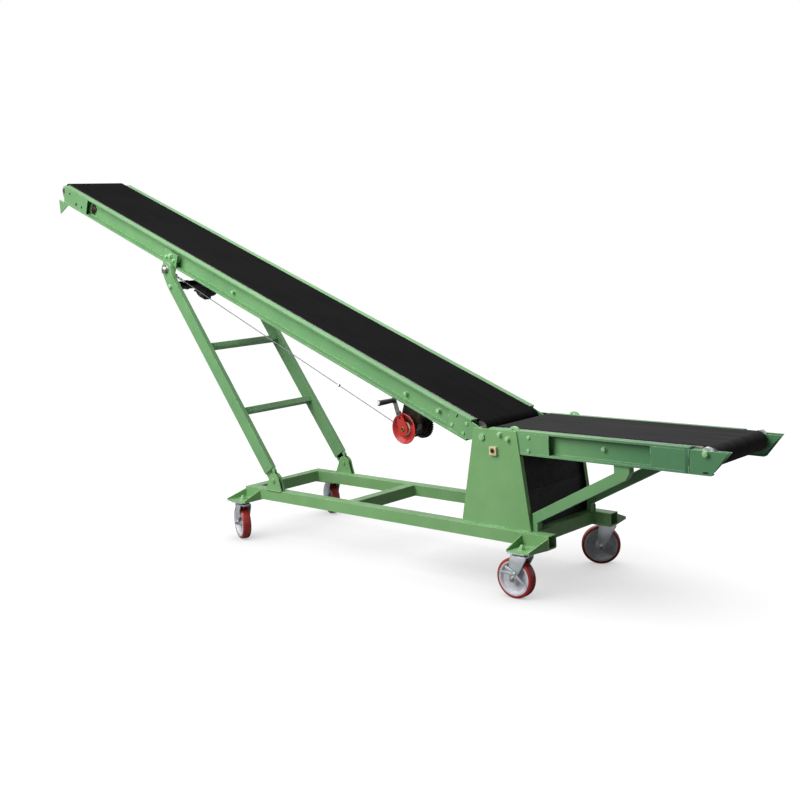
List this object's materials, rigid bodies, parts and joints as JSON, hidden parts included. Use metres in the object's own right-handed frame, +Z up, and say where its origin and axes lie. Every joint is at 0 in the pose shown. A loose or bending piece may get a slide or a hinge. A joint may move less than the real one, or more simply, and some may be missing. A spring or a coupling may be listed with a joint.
{
  "type": "portable belt conveyor",
  "caption": "Portable belt conveyor: a level feed belt and an inclined belt on a castered green steel base, with a strut and hand winch that set the incline.",
  "frame": {"origin": "centre of the bounding box in X and Y, at the floor under the wheels", "axes": "+X towards the feed end, +Y to the side away from the winch, +Z up"},
  "size_m": [5.0084, 0.8695, 2.2086],
  "materials": {
    "bare_steel": "bright steel",
    "bearing_cream": "cream enamel",
    "bed_steel": "bare sheet, worn",
    "belt_rubber": "black belting, matte",
    "caster_steel": "zinc plated pressings",
    "frame_paint": "soft green enamel, satin, worn",
    "gear_steel": "blackened gear",
    "grip_black": "black moulded grip",
    "motor_black": "black enamel, satin",
    "panel_black": "black enamel, dull",
    "roller_steel": "plain turned steel",
    "wheel_hub": "grey painted casting, dull",
    "wheel_tread": "moulded red polyurethane, satin",
    "winch_red": "red enamel",
    "winch_steel": "zinc plated"
  },
  "bodies": {
    "base": {"base_crosses": "frame_paint", "caster_brackets": "frame_paint", "caster_plates": "caster_steel", "feed_bed": "bed_steel", "feed_belt": "belt_rubber", "feed_braces": "frame_paint", "feed_channel_far": "frame_paint", "feed_channel_near": "frame_paint", "feed_rollers": "roller_steel", "feed_side_plates": "frame_paint", "rail_far": "frame_paint", "rail_near": "frame_paint", "strut_feet": "frame_paint", "tower_bearings": "bearing_cream", "tower_far": "frame_paint", "tower_near": "frame_paint", "tower_panel": "panel_black"},
    "incline": {"gear_motor": "motor_black", "head_plates": "frame_paint", "hinge_studs": "bare_steel", "incline_bed": "bed_steel", "incline_belt": "belt_rubber", "incline_channel_far": "frame_paint", "incline_channel_near": "frame_paint", "incline_rollers": "roller_steel", "incline_ties": "frame_paint", "tail_plates": "frame_paint", "winch_cable": "bare_steel", "winch_frame": "winch_steel"},
    "strut": {"strut_leg_far": "frame_paint", "strut_leg_near": "frame_paint", "strut_pins": "bare_steel", "strut_rungs": "frame_paint"},
    "carriage": {"cable_eye": "bare_steel", "carriage_plates": "frame_paint"},
    "winch": {"winch_arm": "winch_red", "winch_bar": "bare_steel", "winch_cover": "winch_red", "winch_drum": "winch_steel", "winch_gear": "gear_steel", "winch_grip": "grip_black", "winch_ratchet": "bearing_cream"},
    "fork_front_near_body": {"fork_front_near": "caster_steel"},
    "wheel_front_near": {"hub_front_near": "wheel_hub", "tread_front_near": "wheel_tread"},
    "fork_front_far_body": {"fork_front_far": "caster_steel"},
    "wheel_front_far": {"hub_front_far": "wheel_hub", "tread_front_far": "wheel_tread"},
    "fork_rear_near_body": {"fork_rear_near": "caster_steel"},
    "wheel_rear_near": {"hub_rear_near": "wheel_hub", "tread_rear_near": "wheel_tread"},
    "fork_rear_far_body": {"fork_rear_far": "caster_steel"},
    "wheel_rear_far": {"hub_rear_far": "wheel_hub", "tread_rear_far": "wheel_tread"}
  },
  "joints": [
    {"name": "incline_tilt", "type": "hinge", "parent": "base", "child": "incline", "pos_m": [1.16356, -0.0015, 0.753], "axis": [0, 1, 0], "range_deg": [-10, 8]},
    {"name": "strut_swing", "type": "hinge", "parent": "base", "child": "strut", "pos_m": [-0.40144, -0.0015, 0.368], "axis": [0, 1, 0], "range_deg": [-20.5, 16.5]},
    {"name": "carriage_slide", "type": "slide", "parent": "incline", "child": "carriage", "axis": [-0.9323, 0, 0.3616], "range_m": [-0.29, 0.32], "deforming": ["winch_cable"]},
    {"name": "winch_turn", "type": "hinge", "parent": "incline", "child": "winch", "pos_m": [0.64529, -0.2515, 0.75469], "axis": [0, 1, 0], "continuous": true},
    {"name": "swivel_front_near", "type": "hinge", "parent": "base", "child": "fork_front_near_body", "pos_m": [1.46556, -0.3715, 0.2], "axis": [0, 0, 1], "continuous": true},
    {"name": "spin_front_near", "type": "hinge", "parent": "fork_front_near_body", "child": "wheel_front_near", "pos_m": [1.42759, -0.37283, 0.1016], "axis": [-0.0349, 0.9994, 0], "continuous": true},
    {"name": "swivel_front_far", "type": "hinge", "parent": "base", "child": "fork_front_far_body", "pos_m": [1.46556, 0.3685, 0.2], "axis": [0, 0, 1], "continuous": true},
    {"name": "spin_front_far", "type": "hinge", "parent": "fork_front_far_body", "child": "wheel_front_far", "pos_m": [1.43443, 0.3467, 0.1016], "axis": [-0.5736, 0.8192, 0], "continuous": true},
    {"name": "swivel_rear_near", "type": "hinge", "parent": "base", "child": "fork_rear_near_body", "pos_m": [-0.61444, -0.3715, 0.2], "axis": [0, 0, 1], "continuous": true},
    {"name": "spin_rear_near", "type": "hinge", "parent": "fork_rear_near_body", "child": "wheel_rear_near", "pos_m": [-0.64942, -0.35665, 0.1016], "axis": [0.3907, 0.9205, 0], "continuous": true},
    {"name": "swivel_rear_far", "type": "hinge", "parent": "base", "child": "fork_rear_far_body", "pos_m": [-0.61444, 0.3685, 0.2], "axis": [0, 0, 1], "continuous": true},
    {"name": "spin_rear_far", "type": "hinge", "parent": "fork_rear_far_body", "child": "wheel_rear_far", "pos_m": [-0.64888, 0.38456, 0.1016], "axis": [0.4226, 0.9063, 0], "continuous": true}
  ],
  "couplings": [
    {"joint": "strut_swing", "follows": "incline_tilt", "ratio": 2.03},
    {"joint": "carriage_slide", "follows": "incline_tilt", "m_per_rad": -1.76}
  ]
}
